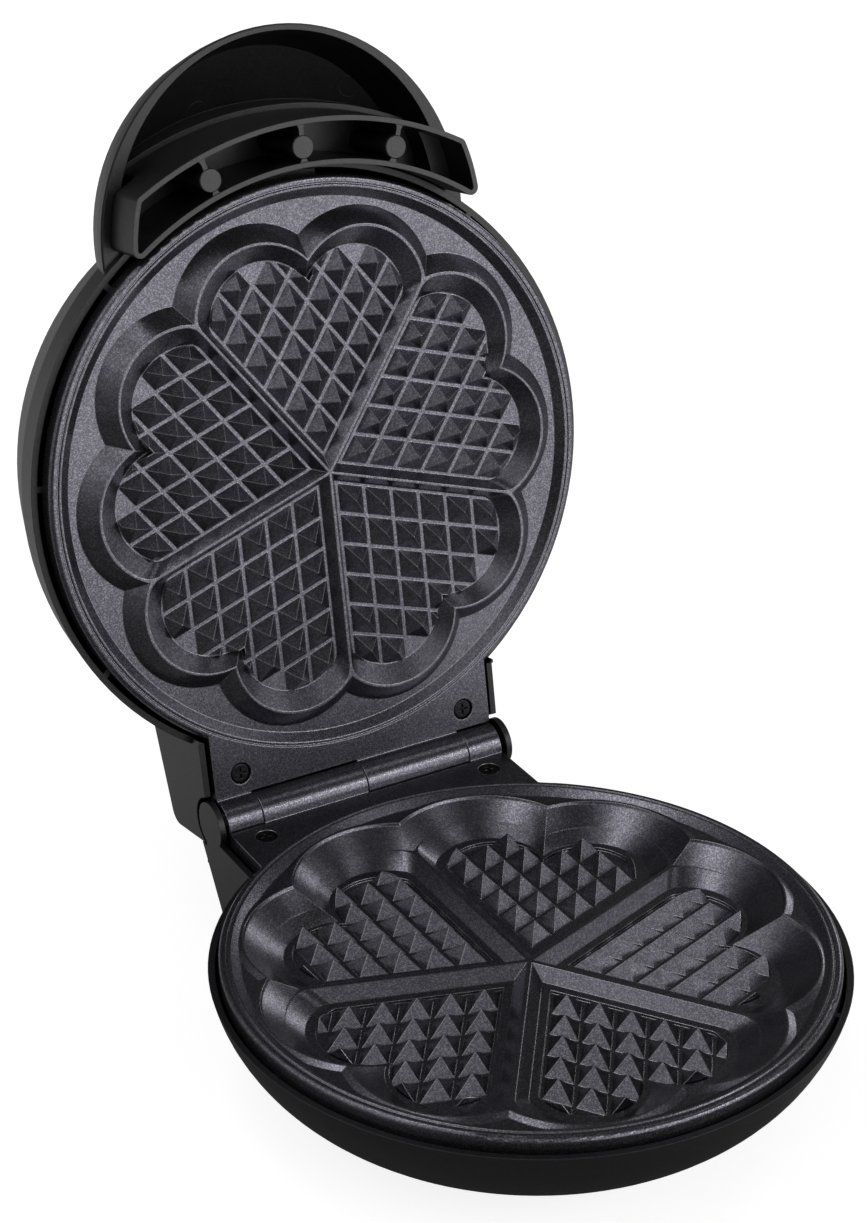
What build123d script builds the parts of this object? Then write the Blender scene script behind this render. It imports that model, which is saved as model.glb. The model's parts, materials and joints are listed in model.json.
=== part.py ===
from build123d import *
import os
from math import cos, radians, sin, sqrt, tan

# Electric heart waffle iron: two cast plates with a ring heater behind each, in moulded casings,
# joined by a pin hinge and drawn with the lid standing open on its stop.
# Each half is drawn in a frame of its own: x across, y from the hinge towards the grip and z out
# of the casing towards the other half, with z = 0 on the plate's rim.

# ---------------------------------------------------------------- driving dimensions (mm, degrees)
plate_r = 92.4
hinge_stand = 13.2        # hinge axis outside the plate's edge
open_angle = 100.3
shut_gap = 0.3            # between the rims of the closed plates
hearts = 5
grip_way = 90.0           # direction of the grip from the plate's centre

plate_edge = 1.4          # rounding of the rim's outer edge
flange_t = 6.0
rim_w = 3.6               # flat rim
groove_inset = 2.6        # fine groove turned into the rim
groove_w = 0.9
groove_d = 0.5
rim_slope = 3.0           # width of the slope from the rim to the land
land_drop = 2.0           # flat land below the rim
lower_belly = 15.2        # underside of each plate
upper_belly = 8.5
belly_inset = 10.4
belly_bevel = 5.0

raised_crease_inset = 10.9    # foot of the raised rosette inside the land's edge, at its creases
raised_lobe_inset = 2.1       # and at its lobes
raised_crease_draft = 6.9     # how far its side leans in up to the crest
raised_lobe_draft = 5.3
crest_rise = 5.4
crest_w = 0.8
pocket_d = 3.6
pocket_side_draft = 2.4       # how far its walls lean in along the dividers
pocket_lobe_draft = 6.0       # and along the lobes
pocket_corner = 5.2

mouth_crease_inset = 7.7      # mouth of the sunk rosette inside the land's edge
mouth_lobe_inset = 0.4
mouth_crease_draft = 8.5      # how far its side leans in down to the dividers
mouth_lobe_draft = 6.4
bead_w = 3.2              # bead round the mouth
bead_h = 0.9
bead_slope = 2.2          # its outer side
bead_bevel = 0.5          # its inner side
divider_drop = 4.7
divider_w = 1.4
ledge_crease_draft = 6.4      # and from there to the ledge
ledge_lobe_draft = 4.8
ledge_drop = 3.5              # below the dividers
ledge_w = 2.75
ledge_corner = 5.5
ledge_step = 1.0
floor_corner = 3.5
heart_corner = 7.0            # where a divider runs into a lobe

cell = 10.1               # side of one rhombic cell
valley = 1.1              # flat between neighbouring pyramids
lower_pyramid_h = 5.0
upper_pyramid_h = 3.9
border = 0.9              # flat between the pyramids and the dividers
lobe_border = 0.4         # and between them and the lobes

knuckle_r = 7.0
knuckle_gap = 0.4
barrel_half = 50.5
end_knuckle = 12.5
leaf_t = 5.0
turn_clear = 0.6          # round a knuckle that turns
pin_r = 2.5
running_fit = 0.05
leaf_screw_inset = 9.5    # inside the barrel's end
leaf_screw_reach = 14.3   # in front of the hinge axis

wall = 2.0                # moulded casings
casing_gap = 3.2          # lower casing's edge outside the plate's edge
bowl_rim = 4.5            # and below the plate's rim
bowl_draw = 33.0          # how far the bowl's side draws in
bowl_depth = 38.0
bowl_curve = 44.0         # radius of the bowl's side in section
foot_h = 6.0
foot_r = 6.5
foot_draft = 5.0
front_foot_inset = 8.0    # inside the edge of the bowl's floor
front_foot_angle = 45.0
rear_foot_x = 32.0
rear_foot_reach = 17.5    # in front of the hinge axis
stem_r = 2.5
stem_h = 4.0
vent_l = 22.0
vent_w = 3.0
vent_pitch = 7.0
vents = 5
slots_y = -12.0

ear_w = 3.4               # hinge housing outside the end of the barrel, on both casings
ear_over = 0.8            # ear outside the knuckles
ear_clear = 1.5
sill = 4.0                # its side walls below the rim
tail = 6.0                # back wall of the base, behind the hinge axis
heel_reach = 7.5          # where that wall meets the heel, in front of the axis
heel_lift = 8.0           # above the bowl's floor
sole_reach = 9.5

lid_over = 0.4            # lid's edge outside the lower casing's edge
lid_rim = 6.0
lid_waist_draw = 2.4      # side draws in down to the waist
lid_waist = 20.0          # level at which the side steepens
lid_side_draw = 8.8
waist_blend = 40.0
lid_top = 55.0
crown_h = 9.0             # rise of the crown above the point where it would meet the side
lid_shoulder = 12.0
back_reach = 7.5          # back wall of the lid, behind the hinge axis
back_top = 28.3
back_fall = 12.8          # slope of the housing's roof
back_corner = 5.0
back_front = 50.0
back_sill = 1.0
stop_gap = 0.3            # lid's back wall over the base's back wall when open

visor_set = 20.1          # centre of the round visor over the grip, inside the lid's edge
visor_r = 62.1
visor_rim = 8.0
visor_waist_draw = 1.7
visor_waist = 15.0
visor_side_draw = 3.4
visor_side = 26.0
visor_top = 38.0
visor_shoulder = 9.0
visor_lip = 2.0           # wall at the front of the visor's edge
visor_cheek = 10.2        # what the two ends of that edge have over the front
hollow_waist_draw = 1.6
hollow_side_draw = 4.4
rebate_w = 0.5            # step round the outer edge of the visor
rebate_h = 0.8

grip_gap = 0.4            # between the lid's edge and the grip
grip_w = 14.6
grip_end_inset = 3.1      # its ends follow the visor
grip_face = 8.5
grip_back = 18.0
grip_wall = 1.6
grip_corner = 2.4
post_r = 3.6
post_set = 6.2            # posts outside the grip's inner edge
post_angle = 17.8
post_drop = 1.6
web_t = 1.6
web_drop = 0.4
web_flare = 2.4           # web widens where it meets the walls
deck_edge = 1.6           # ledge left outside the grip
grip_floor = 2.4
grip_heel_clear = 3.6     # its back part fits inside the visor
grip_lift = 0.6           # front part over the visor's edge

ring_inset = 40.4         # tubular heater inside the plate's edge
tube_r = 3.25
tube_sink = 2.0           # how far it lies in the plate's back
leg_x = 12.0
leg_bend = 9.0
leg_out = 20.0            # legs outside the ring
cold_pin_r = 1.2
cold_pin_l = 9.0
shield_over = 14.0        # steel shield that clamps the heater, outside the ring
shield_lip = 5.0
sheet = 1.0
shield_boss_r = 5.0
shield_boss_inset = 22.0  # inside the ring
shield_bosses = 3
slack = 0.2               # between pieces that lie against each other

screw_r = 2.0
screw_l = 14.0
shield_screw_l = 7.0
tip_clear = 1.0           # left below a screw's tip
head_r = 3.3
head_h = 2.0
head_round = 0.65
slot_w = 0.8
slot_l = 3.6
slot_d = 0.9
sink_r = 3.6
sink_d = 2.4
boss_r = 4.5
rib_t = 2.0
rib_depth = 14.0
rib_angles = (-32.0, 8.0, 48.0)
boss_neck = 2.8

hook_half = 9.0           # cast hook that holds the front of each plate
hook_inset = 14.4         # inside the plate's edge
hook_stem = 5.0
hook_l = 10.0
hook_low = 15.2
hook_t = 3.0
keeper_lap = 2.4          # hook's lip over its keeper in the casing
keeper_t = 2.4
keeper_half = 12.0

thermostat_r = 8.0
thermostat_h = 9.0
thermostat_flange = 12.0
fuse_l = 14.0
fuse_w = 7.0
fuse_h = 6.0
fuse_corner = 1.75
block_l = 36.0            # terminal block in the base
block_w = 13.0
block_h = 12.0
block_reach = 29.6        # in front of the hinge axis
terminal_r = 2.0
terminal_pitch = 11.0
terminals = 3
inlet_r = 5.0
inlet_bore = 3.5
inlet_flange = 8.0
inlet_out = 3.0
inlet_in = 4.0
inlet_round = 1.0
inlet_rise = 7.0          # above the heel
pin_head_r = 4.2
pin_head_t = 0.8
lens_r = 3.0
lens_dome = 1.0
lens_flange = 4.6
lens_seat = 5.6
lens_pitch = 16.0
lens_y = 30.0
lens_sink = 7.0           # flange below the crown
lens_flange_t = 1.5
board_l = 30.0
board_w = 13.0
board_t = 1.6
blade_w = 4.8
blade_t = 0.8
blade_h = 7.0

# ------------------------------------------------------------------------------------ worked-out sizes
hinge_reach = plate_r + hinge_stand       # plate centre to hinge axis
rim_r = plate_r - rim_w
groove_r = plate_r - groove_inset
land_r = rim_r - rim_slope
belly_r = plate_r - belly_inset
raised_foot_r = land_r - raised_crease_inset
raised_foot_lobe = land_r - raised_lobe_inset
raised_r = raised_foot_r - raised_crease_draft
raised_lobe = raised_foot_lobe - raised_lobe_draft
mouth_r = land_r - mouth_crease_inset
mouth_lobe = land_r - mouth_lobe_inset
divider_r = mouth_r - mouth_crease_draft
divider_lobe = mouth_lobe - mouth_lobe_draft
ledge_r = divider_r - ledge_crease_draft
ledge_lobe = divider_lobe - ledge_lobe_draft
hook_y = plate_r - hook_inset
hook_lip = hook_y + hook_l
keeper_y = hook_lip - keeper_lap

middle_knuckle = barrel_half - end_knuckle
leaf_screw_x = barrel_half - leaf_screw_inset
housing_half = barrel_half + ear_w
ear_r = knuckle_r + ear_over
bowl_rim_r = plate_r + casing_gap
bowl_floor_r = bowl_rim_r - bowl_draw
front_foot_ring = bowl_floor_r - front_foot_inset
heel_drop = bowl_depth - heel_lift
inlet_z = inlet_rise - heel_drop
block_y = block_reach - hinge_reach

lid_rim_r = bowl_rim_r + lid_over
lid_waist_r = lid_rim_r - lid_waist_draw
lid_side_r = lid_waist_r - lid_side_draw
lid_side = lid_top - crown_h              # level at which the lid's side and crown would meet
lens_level = lid_top - lens_sink
visor_y = lid_rim_r - visor_set
visor_waist_r = visor_r - visor_waist_draw
visor_side_r = visor_waist_r - visor_side_draw
hollow_r = visor_r - (visor_lip + visor_cheek) / 2
hollow_y = visor_y + (visor_cheek - visor_lip) / 2
hollow_waist_r = hollow_r - hollow_waist_draw
hollow_side_r = hollow_waist_r - hollow_side_draw
grip_in_r = lid_rim_r + grip_gap
grip_out_r = grip_in_r + grip_w
grip_end_r = visor_r - grip_end_inset
grip_heel_r = hollow_r - grip_heel_clear
post_ring = grip_in_r + post_set

ring_r = plate_r - ring_inset
leg_reach = ring_r + leg_out
shield_r = ring_r + shield_over
shield_boss_ring = ring_r - shield_boss_inset

# ------------------------------------------------------------------------- frames of the two halves
rise = sin(radians(open_angle))
lean = -cos(radians(open_angle))
crown_r = (lid_side_r**2 + (lid_top - lid_side) ** 2) / (2 * (lid_top - lid_side))
hinge_z = bowl_depth + foot_h + shut_gap / 2
lid_back_y = hinge_reach * (1 + lean) + (shut_gap / 2 - crown_r + lid_top) * rise + crown_r
hinge_y = hinge_reach - (lid_back_y - bowl_rim_r) / 2     # origin under the middle of the open iron

LOWER = Plane(
    origin=(0, hinge_y - hinge_reach, bowl_depth + foot_h),
    x_dir=(-1, 0, 0),
    z_dir=(0, 0, 1),
)
UPPER = Plane(
    origin=(
        0,
        hinge_y + hinge_reach * lean + rise * shut_gap / 2,
        hinge_z + hinge_reach * rise - lean * shut_gap / 2,
    ),
    x_dir=(1, 0, 0),
    z_dir=(0, -rise, lean),
)
knuckles = [(-barrel_half, -middle_knuckle), (0, middle_knuckle)]
half_heart = 180 / hearts
axis_z = shut_gap / 2     # hinge axis above the rim, in either half
shield_drop = 2 * (tube_r + slack) - tube_sink
rib_reach = bowl_rim_r - belly_r
tail_drop = (stop_gap + back_reach + tail * lean) / rise - axis_z
# where the housing's side leaves the bowl's floor, or the bowl's middle where the housing is wider
housing_front = -sqrt(max(bowl_floor_r**2 - housing_half**2, 0))
housing_shoulder = -sqrt(bowl_rim_r**2 - housing_half**2)


def section(half):
    """Middle plane of one half, drawn in its y and z."""
    return Plane(origin=half.origin, x_dir=half.y_dir, z_dir=half.x_dir)


def upright(half, y=0):
    """Axis that stands on the parting plane of one half."""
    return Axis(half.from_local_coords((0, y, 0)), half.z_dir)


def polar(radius, angle):
    return Vector(radius * cos(radians(angle)), radius * sin(radians(angle)))


# ------------------------------------------------------------------------------------- cast plates
def scallop(crease_r, lobe_r):
    """Outline of the rosette: two lobes to a heart, a crease at each cleft and divider."""
    with BuildSketch() as outline:
        with BuildLine():
            for lobe in range(2 * hearts):
                start = grip_way + lobe * half_heart
                crown = polar(lobe_r, start + half_heart / 2)
                ThreePointArc(polar(crease_r, start), crown, polar(crease_r, start + half_heart))
        make_face()
    return outline.sketch


def heart(inset, cleft_r, lobe_r, corner_r):
    """One heart, tip near the centre, its straight sides kept the inset off the dividers."""
    tip = (0, inset / sin(radians(half_heart)))
    shoulder = polar(cleft_r, grip_way - half_heart) + polar(inset, 2 * grip_way - half_heart)
    with BuildSketch() as outline:
        with BuildLine():
            Line(tip, shoulder)
            ThreePointArc(shoulder, polar(lobe_r, grip_way - half_heart / 2), (0, cleft_r))
            mirror(about=Plane.YZ)
        make_face()
        corners = outline.vertices().sort_by(Axis.X)
        fillet([corners[0], corners[-1]], radius=corner_r)
    return outline.sketch


def pyramids(inset, cleft_r, lobe_r, corner_r, height):
    """Pyramids of one heart, on a rhombic grid whose rows follow its straight sides."""
    rows = int(lobe_r / cell) + 1
    right = polar(cell, grip_way - half_heart)
    left = polar(cell, grip_way + half_heart)
    half_foot = (1 - valley / cell / sin(radians(2 * half_heart))) / 2
    with BuildPart() as pyramid:
        with BuildSketch() as foot:
            with BuildLine():
                near = [(right + left) * half_foot, (right - left) * half_foot]
                Polyline(*near, *[corner * -1 for corner in near], close=True)
            make_face()
        loft([foot.face(), Vertex(0, 0, height)])
    tip = Vector(0, (inset + border - valley / 2) / sin(radians(half_heart)))
    grid = [tip + right * (i + 0.5) + left * (j + 0.5) for i in range(rows) for j in range(rows)]
    with BuildPart() as field:
        with Locations(*[centre for centre in grid if centre.length < lobe_r]):
            add(pyramid.part)
        with BuildSketch():
            add(heart(inset, cleft_r - lobe_border, lobe_r - lobe_border, corner_r))
        extrude(amount=height, mode=Mode.INTERSECT)
    return field.part


def heater_path(half, belly):
    """Middle line of the tubular heater: two legs from the hinge side and most of a ring."""
    reach = ring_r + leg_bend
    bend_x = leg_x + leg_bend
    bend_y = -sqrt(reach**2 - bend_x**2)
    join_x = bend_x * ring_r / reach
    join_y = bend_y * ring_r / reach
    level = -belly + tube_sink - tube_r - slack
    with BuildLine() as path:
        Line((leg_x, -leg_reach), (leg_x, bend_y))
        TangentArc((leg_x, bend_y), (join_x, join_y), tangent=(0, 1))
        ThreePointArc((join_x, join_y), (0, ring_r), (-join_x, join_y))
        TangentArc((-leg_x, bend_y), (-join_x, join_y), tangent=(0, 1))
        Line((-leg_x, bend_y), (-leg_x, -leg_reach))
    return path.wire().moved(half.offset(level).location)


def cast_plate(half, belly):
    """Disc, rim, hinge leaf, knuckles, hook and shield bosses, which both plates share."""
    under = -belly - shield_drop
    with BuildPart() as casting:
        with BuildSketch(section(half)):
            with BuildLine():
                Polyline(
                    (plate_r - plate_edge, 0),
                    (groove_r + groove_w / 2, 0),
                    (groove_r, -groove_d),
                    (groove_r - groove_w / 2, 0),
                    (rim_r, 0),
                    (land_r, -land_drop),
                    (0, -land_drop),
                    (0, -belly),
                    (belly_r, -belly),
                    (belly_r + belly_bevel, -flange_t),
                    (plate_r, -flange_t),
                    (plate_r, -plate_edge),
                )
                RadiusArc((plate_r, -plate_edge), (plate_r - plate_edge, 0), -plate_edge)
            make_face()
        revolve(axis=upright(half))

        leaf_end = hinge_reach - knuckle_r - turn_clear
        with BuildSketch(half.offset(-leaf_t)):
            with Locations((0, -leaf_end)):
                Rectangle(2 * barrel_half, leaf_end, align=(Align.CENTER, Align.MIN))
            Circle(plate_r - plate_edge, mode=Mode.SUBTRACT)
        extrude(amount=leaf_t)
        for start, end in knuckles:
            with BuildSketch(section(half).offset(start + knuckle_gap / 2)):
                with Locations((-hinge_reach, axis_z)):
                    Circle(knuckle_r)
                with Locations((-hinge_reach, 0)):
                    Rectangle(knuckle_r + turn_clear, leaf_t, align=(Align.MIN, Align.MAX))
            extrude(amount=end - start - knuckle_gap)
        with BuildSketch(section(half)):
            with Locations((-hinge_reach, axis_z)):
                Circle(pin_r + running_fit)
        extrude(amount=barrel_half, both=True, mode=Mode.SUBTRACT)
        with Locations(half.location):
            with Locations((0, leaf_screw_reach - hinge_reach)):
                with GridLocations(2 * leaf_screw_x, 0, 2, 1):
                    CounterBoreHole(screw_r + slack, sink_r, sink_d, depth=leaf_t)

        with BuildSketch(section(half)):
            with BuildLine():
                Polyline(
                    (hook_y, -flange_t),
                    (hook_y + hook_stem, -flange_t),
                    (hook_y + hook_stem, -hook_low + hook_t),
                    (hook_lip, -hook_low + hook_t),
                    (hook_lip, -hook_low),
                    (hook_y, -hook_low),
                    close=True,
                )
            make_face()
        extrude(amount=hook_half, both=True)
        with BuildSketch(half.offset(under)):
            with PolarLocations(shield_boss_ring, shield_bosses, start_angle=grip_way):
                Circle(shield_boss_r)
        extrude(amount=shield_drop)
        with BuildSketch(half.offset(under)):
            with PolarLocations(shield_boss_ring, shield_bosses, start_angle=grip_way):
                Circle(screw_r + running_fit)
        extrude(amount=shield_drop + tube_sink, mode=Mode.SUBTRACT)
    return casting.part


def bent_tube(wire, radius):
    """Round bar along a wire."""
    with BuildPart() as bar:
        with BuildSketch(Plane(origin=wire @ 0, z_dir=wire % 0)):
            Circle(radius)
        sweep(path=wire)
    return bar.part


lower_casting = cast_plate(LOWER, lower_belly)
lower_path = heater_path(LOWER, lower_belly)
lower_groove = bent_tube(lower_path, tube_r + slack)
dividers_z = -land_drop - divider_drop
ledge_z = dividers_z - ledge_drop
floor_z = ledge_z - ledge_step
sunk_ledge = (divider_w / 2 + ledge_drop, ledge_r, ledge_lobe, ledge_corner)
sunk_floor = (
    divider_w / 2 + ledge_drop + ledge_w,
    ledge_r - ledge_w,
    ledge_lobe - ledge_w,
    floor_corner,
)
with BuildPart() as sunk_heart:
    with BuildSketch(Plane.XY.offset(dividers_z)):
        add(heart(divider_w / 2, divider_r, divider_lobe, heart_corner))
    with BuildSketch(Plane.XY.offset(ledge_z)):
        add(heart(*sunk_ledge))
    loft(ruled=True)
    with BuildSketch(Plane.XY.offset(floor_z)):
        add(heart(*sunk_floor))
    extrude(amount=ledge_step)
lower_field = pyramids(*sunk_floor, lower_pyramid_h)

with BuildPart() as lower_plate:
    add(lower_casting)
    with BuildSketch(LOWER.offset(-land_drop)):
        add(scallop(mouth_r + bead_w, mouth_lobe + bead_w))
    with BuildSketch(LOWER.offset(bead_h - land_drop)):
        add(scallop(mouth_r + bead_w - bead_slope, mouth_lobe + bead_w - bead_slope))
    loft(ruled=True)
    with BuildSketch(LOWER.offset(bead_h - land_drop)):
        add(scallop(mouth_r + bead_bevel, mouth_lobe + bead_bevel))
    with BuildSketch(LOWER.offset(-land_drop)):
        add(scallop(mouth_r, mouth_lobe))
    loft(ruled=True, mode=Mode.SUBTRACT)
    with BuildSketch(LOWER.offset(-land_drop)):
        add(scallop(mouth_r, mouth_lobe))
    with BuildSketch(LOWER.offset(dividers_z)):
        add(scallop(divider_r, divider_lobe))
    loft(ruled=True, mode=Mode.SUBTRACT)
    with Locations(LOWER.location):
        with PolarLocations(0, hearts):
            add(sunk_heart.part, mode=Mode.SUBTRACT)
    with Locations(LOWER.offset(floor_z).location):
        with PolarLocations(0, hearts):
            add(lower_field)
    add(lower_groove, mode=Mode.SUBTRACT)

upper_casting = cast_plate(UPPER, upper_belly)
upper_path = heater_path(UPPER, upper_belly)
upper_groove = bent_tube(upper_path, tube_r + slack)
crest_z = crest_rise - land_drop
pocket_z = crest_z - pocket_d
crest_inset = (crest_w / 2, raised_r - crest_w, raised_lobe - crest_w, heart_corner)
pocket_inset = (
    crest_w / 2 + pocket_side_draft,
    raised_r - crest_w - pocket_lobe_draft,
    raised_lobe - crest_w - pocket_lobe_draft,
    pocket_corner,
)
with BuildPart() as pocket:
    with BuildSketch(Plane.XY.offset(crest_z)):
        add(heart(*crest_inset))
    with BuildSketch(Plane.XY.offset(pocket_z)):
        add(heart(*pocket_inset))
    loft(ruled=True)
upper_field = pyramids(*pocket_inset, upper_pyramid_h)

with BuildPart() as upper_plate:
    add(upper_casting)
    with BuildSketch(UPPER.offset(-land_drop)):
        add(scallop(raised_foot_r, raised_foot_lobe))
    with BuildSketch(UPPER.offset(crest_z)):
        add(scallop(raised_r, raised_lobe))
    loft(ruled=True)
    with Locations(UPPER.location):
        with PolarLocations(0, hearts):
            add(pocket.part, mode=Mode.SUBTRACT)
    with Locations(UPPER.offset(pocket_z).location):
        with PolarLocations(0, hearts):
            add(upper_field)
    add(upper_groove, mode=Mode.SUBTRACT)

# --------------------------------------------------------------------------------- moulded casings


def bowl(skin=0):
    """Half section of the bowl up to the plate's rim, inside the outer surface by the skin."""
    with BuildSketch() as profile:
        with BuildLine():
            Line((0, skin), (bowl_rim_r, skin))
            Line((bowl_rim_r, skin), (bowl_rim_r, -bowl_rim))
            RadiusArc((bowl_rim_r, -bowl_rim), (bowl_floor_r, -bowl_depth), bowl_curve)
            Line((bowl_floor_r, -bowl_depth), (0, -bowl_depth))
            mirror(about=Plane.YZ)
        make_face()
        if skin:
            offset(amount=-skin, kind=Kind.INTERSECTION)
        Rectangle(bowl_rim_r, 2 * bowl_depth, align=(Align.MIN, Align.CENTER), mode=Mode.INTERSECT)
    return profile.sketch


def base_housing(skin=0):
    """Side view of the hinge housing up to the plate's rim."""
    slope = (heel_reach + tail) / (heel_drop - tail_drop)
    with BuildSketch() as profile:
        with BuildLine():
            Polyline(
                (housing_front, -bowl_depth),
                (sole_reach - hinge_reach, -bowl_depth),
                (heel_reach - hinge_reach, -heel_drop),
                (-tail - slope * (tail_drop + skin) - hinge_reach, skin),
                (housing_shoulder, skin),
                close=True,
            )
        make_face()
        if skin:
            offset(amount=-skin, kind=Kind.INTERSECTION)
    return profile.sketch


def dome(rim_r, rim, waist_r, waist, side_r, side, top, shoulder, skin=0):
    """Half section of a domed cover: side in two slopes, rounded shoulder and shallow crown."""
    crown = (side_r**2 + (top - side) ** 2) / (2 * (top - side))
    with BuildSketch() as profile:
        with BuildLine():
            Polyline((0, skin), (rim_r, skin), (rim_r, -rim), (waist_r, -waist), (side_r, -side))
            RadiusArc((side_r, -side), (0, -top), crown)
            mirror(about=Plane.YZ)
        make_face()
        fillet(profile.vertices().group_by(Axis.Y)[1], radius=shoulder)
        fillet([spot for spot in profile.vertices() if abs(spot.Y + waist) < slack], radius=waist_blend)
        if skin:
            offset(amount=-skin, kind=Kind.INTERSECTION)
        Rectangle(rim_r, 2 * top, align=(Align.MIN, Align.CENTER), mode=Mode.INTERSECT)
    return profile.sketch


def lid_housing(skin=0):
    """Side view of the hinge housing on the lid up to the plate's rim."""
    fall = tan(radians(back_fall))
    with BuildSketch() as profile:
        with BuildLine():
            Polyline(
                (-back_reach - hinge_reach, skin),
                (-back_reach - hinge_reach, -back_top),
                (back_front - hinge_reach, -back_top - (back_reach + back_front) * fall),
                (back_front - hinge_reach, skin),
                close=True,
            )
        make_face()
        corner = profile.vertices().sort_by(Axis.X)[:2].sort_by(Axis.Y)[0]
        fillet(corner, radius=back_corner)
        if skin:
            offset(amount=-skin, kind=Kind.INTERSECTION)
    return profile.sketch


def seats(half, depth):
    """What stands inside a casing: ribs under the plate's rim, screw bosses and the hook's keeper."""
    with BuildPart() as inside:
        with BuildSketch(half.offset(-flange_t)):
            for angle in [*rib_angles, *[180 - angle for angle in rib_angles]]:
                with Locations(polar(belly_r + belly_bevel + turn_clear, angle)):
                    Rectangle(rib_reach, rib_t, rotation=angle, align=(Align.MIN, Align.CENTER))
        extrude(amount=-rib_depth)
        with BuildSketch(half.offset(-leaf_t)):
            with Locations((0, leaf_screw_reach - hinge_reach)):
                with GridLocations(2 * leaf_screw_x, 0, 2, 1):
                    Circle(boss_r)
        extrude(amount=-depth)
        with BuildSketch(half.offset(-hook_low + hook_t + slack)):
            with Locations((0, keeper_y)):
                Rectangle(2 * keeper_half, rib_reach, align=(Align.CENTER, Align.MIN))
        extrude(amount=keeper_t)
    return inside.part


foot_places = [
    (rear_foot_x, rear_foot_reach - hinge_reach),
    (-rear_foot_x, rear_foot_reach - hinge_reach),
    tuple(polar(front_foot_ring, front_foot_angle))[:2],
    tuple(polar(front_foot_ring, 180 - front_foot_angle))[:2],
]
post_turns = (-post_angle, 0, post_angle)
post_places = [tuple(polar(post_ring, grip_way + turn))[:2] for turn in post_turns]
wall_angle = (heel_reach + tail) / (heel_drop - tail_drop)
INLET = Plane(
    origin=LOWER.from_local_coords(
        (0, heel_reach - hinge_reach + wall_angle * (-heel_drop - inlet_z), inlet_z)
    ),
    x_dir=(1, 0, 0),
    z_dir=(0, 1, -wall_angle),
)
lid_form = (lid_rim_r, lid_rim, lid_waist_r, lid_waist, lid_side_r, lid_side, lid_top, lid_shoulder)
visor_form = (
    visor_r,
    visor_rim,
    visor_waist_r,
    visor_waist,
    visor_side_r,
    visor_side,
    visor_top,
    visor_shoulder,
)
hollow_form = (
    hollow_r + wall,
    visor_rim,
    hollow_waist_r + wall,
    visor_waist,
    hollow_side_r + wall,
    visor_side,
    visor_top,
    visor_shoulder,
)
lower_seats = seats(LOWER, bowl_depth)
upper_seats = seats(UPPER, lid_top)

with BuildPart() as lower_core:
    with BuildSketch(section(LOWER)):
        add(bowl(wall))
    revolve(axis=upright(LOWER))
    with BuildSketch(section(LOWER)):
        add(base_housing(wall))
    extrude(amount=housing_half - wall, both=True)
    add(lower_seats, mode=Mode.SUBTRACT)

with BuildPart() as lower_casing:
    with BuildSketch(section(LOWER)):
        add(bowl())
        Rectangle(bowl_rim_r, bowl_rim, align=(Align.MIN, Align.MAX), mode=Mode.SUBTRACT)
    revolve(axis=upright(LOWER))
    with BuildSketch(section(LOWER)):
        add(base_housing())
        with Locations((-hinge_reach, 0)):
            Rectangle(hinge_reach, sill, align=(Align.MIN, Align.MAX), mode=Mode.SUBTRACT)
            Rectangle(bowl_rim_r, tail_drop, align=(Align.MAX, Align.MAX), mode=Mode.SUBTRACT)
            Rectangle(boss_neck, heel_drop / 2, align=(Align.MAX, Align.MAX))
            Rectangle(boss_neck, sill, align=(Align.MAX, Align.MAX), mode=Mode.SUBTRACT)
        with Locations((-hinge_reach, axis_z)):
            Circle(ear_r)
    extrude(amount=housing_half, both=True)
    with BuildSketch(section(LOWER)):
        with Locations((-hinge_reach, axis_z)):
            Circle(ear_r + slack)
    extrude(amount=housing_half - wall, both=True, mode=Mode.SUBTRACT)
    add(lower_core.part, mode=Mode.SUBTRACT)
    # pilot holes for the leaf screws
    with BuildSketch(LOWER.offset(-leaf_t)):
        with Locations((0, leaf_screw_reach - hinge_reach)):
            with GridLocations(2 * leaf_screw_x, 0, 2, 1):
                Circle(screw_r + running_fit)
    extrude(amount=-screw_l, mode=Mode.SUBTRACT)
    # foot sockets, cooling slots and the inlet's hole
    with BuildSketch(LOWER.offset(-bowl_depth)):
        with Locations(*foot_places):
            Circle(stem_r + running_fit)
        with Locations((0, slots_y)):
            with GridLocations(vent_pitch, 0, vents, 1):
                SlotOverall(vent_l, vent_w, rotation=90)
    extrude(amount=wall, mode=Mode.SUBTRACT)
    with BuildSketch(INLET):
        Circle(inlet_r + running_fit)
    extrude(amount=-inlet_in, mode=Mode.SUBTRACT)

with BuildPart() as lid_core:
    with BuildSketch(section(UPPER)):
        add(dome(*lid_form, wall))
    revolve(axis=upright(UPPER))
    with BuildSketch(section(UPPER)):
        add(lid_housing(wall))
    extrude(amount=housing_half - wall, both=True)

with BuildPart() as visor_core:
    with BuildSketch(section(UPPER)):
        with Locations((hollow_y, 0)):
            add(dome(*hollow_form, wall))
    revolve(axis=upright(UPPER, hollow_y))

# behind the grip's deck the inside of the visor opens into the lid
with BuildPart() as bay:
    add(visor_core.part)
    with BuildSketch(UPPER.offset(-grip_back - wall)):
        Circle(grip_out_r)
    extrude(amount=-lid_top, mode=Mode.INTERSECT)

with BuildPart() as grip_well:
    add(visor_core.part)
    with BuildSketch(UPPER.offset(-grip_back)):
        Circle(grip_out_r + deck_edge)
        Circle(lid_rim_r, mode=Mode.SUBTRACT)
    extrude(amount=grip_back, mode=Mode.INTERSECT)

with BuildPart() as finger_hollow:
    add(visor_core.part)
    with BuildSketch(UPPER):
        Circle(grip_out_r + deck_edge)
    extrude(amount=-lid_top, mode=Mode.SUBTRACT)

with BuildPart() as lid_inside:
    add(lid_core.part)
    add(bay.part)
    add(upper_seats, mode=Mode.SUBTRACT)
    with BuildSketch(UPPER.offset(-lens_level)):
        with Locations((0, lens_y)):
            with GridLocations(lens_pitch, 0, 2, 1):
                Circle(lens_seat)
    extrude(amount=-lid_top, mode=Mode.SUBTRACT)

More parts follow.
